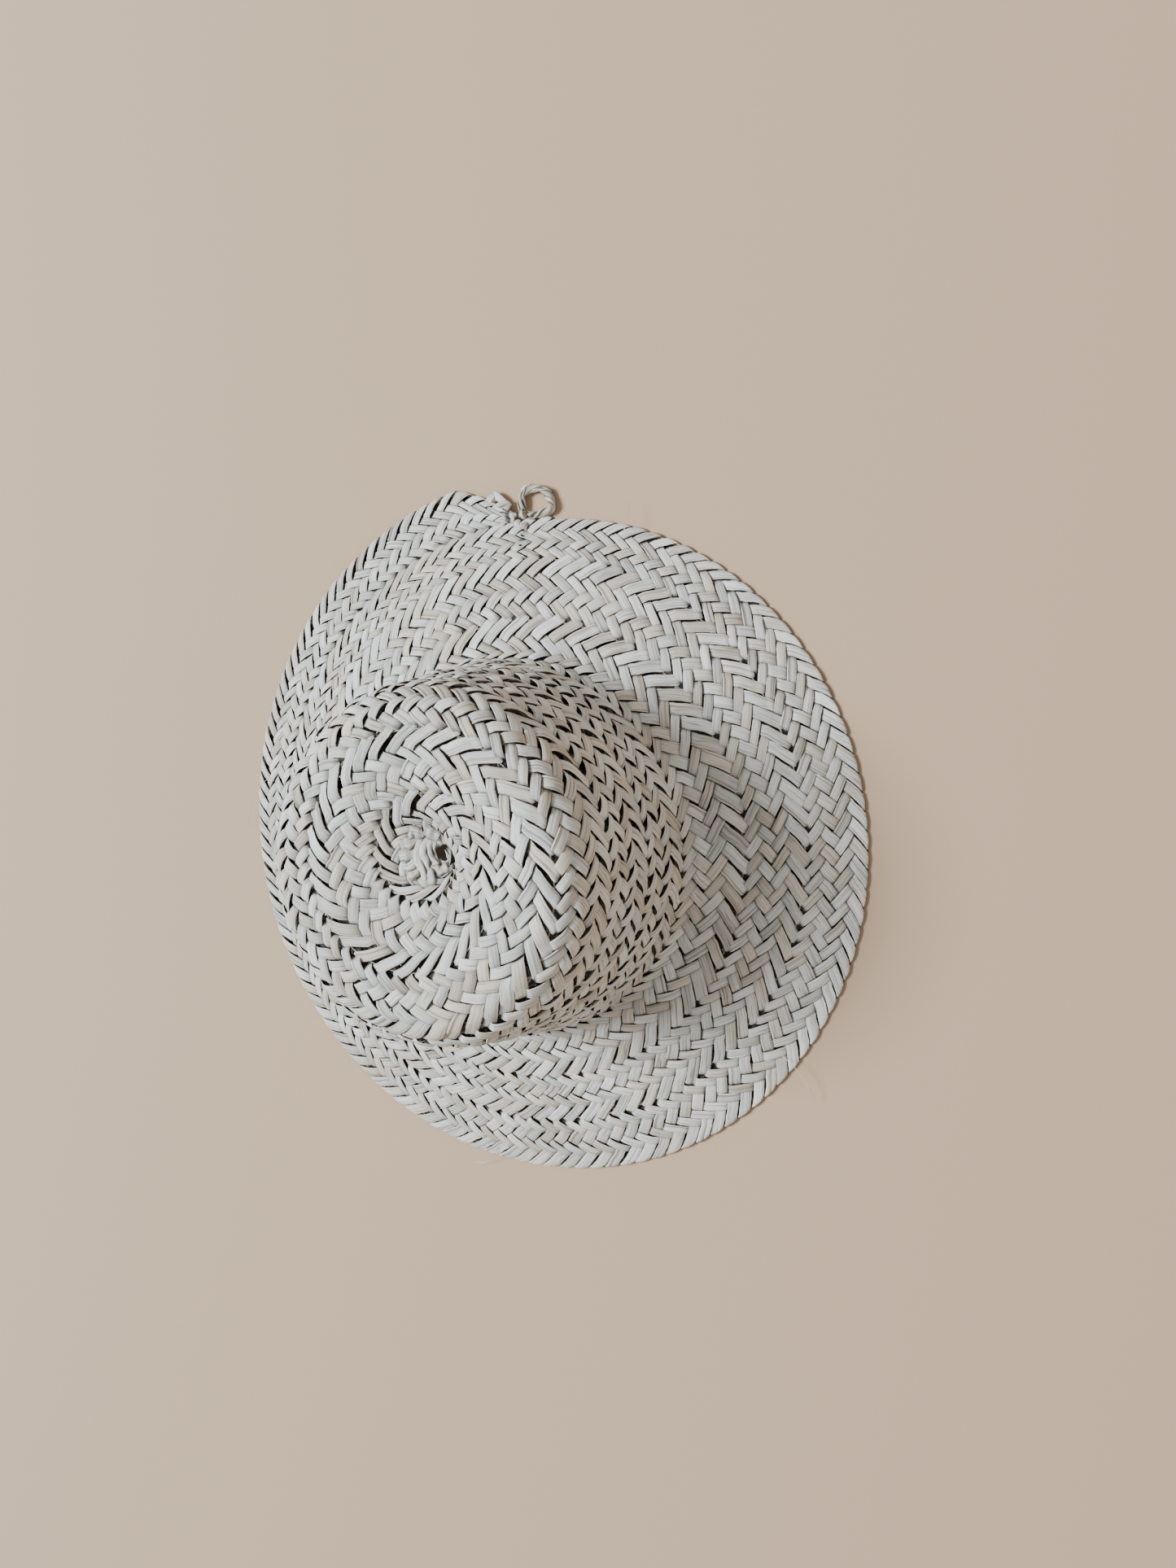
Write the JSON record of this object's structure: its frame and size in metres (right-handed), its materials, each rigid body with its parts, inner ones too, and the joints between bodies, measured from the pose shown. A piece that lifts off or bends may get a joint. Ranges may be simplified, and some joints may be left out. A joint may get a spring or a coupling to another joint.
{
  "type": "plaited palm-leaf hat",
  "caption": "Small-brimmed straw hat of one flat palm-leaf plait sewn in a spiral, with a twisted hanging loop at the rim.",
  "frame": {"origin": "middle of the underside of the hat's bounding box, in the plane that the rim rests on", "axes": "+Z from the rim's plane up through the crown, +Y towards the hanging loop, +X to the right of the loop seen from above"},
  "size_m": [0.3436, 0.347, 0.1118],
  "materials": {
    "palm_plait": "bleached palm-leaf strips, dry and matt, with fine lengthwise fibres and darker cut edges",
    "palm_cord": "thin twisted palm cord, tan and matt",
    "palm_loop": "two palm strips twisted together, matt with a slight sheen on the bends"
  },
  "bodies": {
    "hat": {"tip_start_coil": "palm_plait", "tip_turn": "palm_plait", "shoulder_turn": "palm_plait", "upper_side_turn": "palm_plait", "middle_side_turn": "palm_plait", "lower_side_turn": "palm_plait", "brim_inner_turn": "palm_plait", "brim_middle_turn": "palm_plait", "rim_turn": "palm_plait", "plait_end_fold": "palm_plait", "seam_cord_tip": "palm_cord", "seam_cord_shoulder": "palm_cord", "seam_cord_upper_side": "palm_cord", "seam_cord_middle_side": "palm_cord", "seam_cord_lower_side": "palm_cord", "seam_cord_brim_inner": "palm_cord", "seam_cord_brim_middle": "palm_cord", "seam_cord_rim": "palm_cord"},
    "knot": {"loop_knot": "palm_loop"},
    "loop": {"hanging_loop": "palm_loop"}
  },
  "joints": [
    {"name": "loop_lift", "type": "hinge", "parent": "hat", "child": "knot", "pos_m": [-0.00051, 0.15827, 0.0026], "axis": [0.6247, -0.7809, 0], "range_deg": [0, 95]},
    {"name": "loop_swing", "type": "hinge", "parent": "knot", "child": "loop", "pos_m": [-0.00051, 0.15827, 0.0026], "axis": [0, 0, 1], "range_deg": [0, 20]}
  ]
}
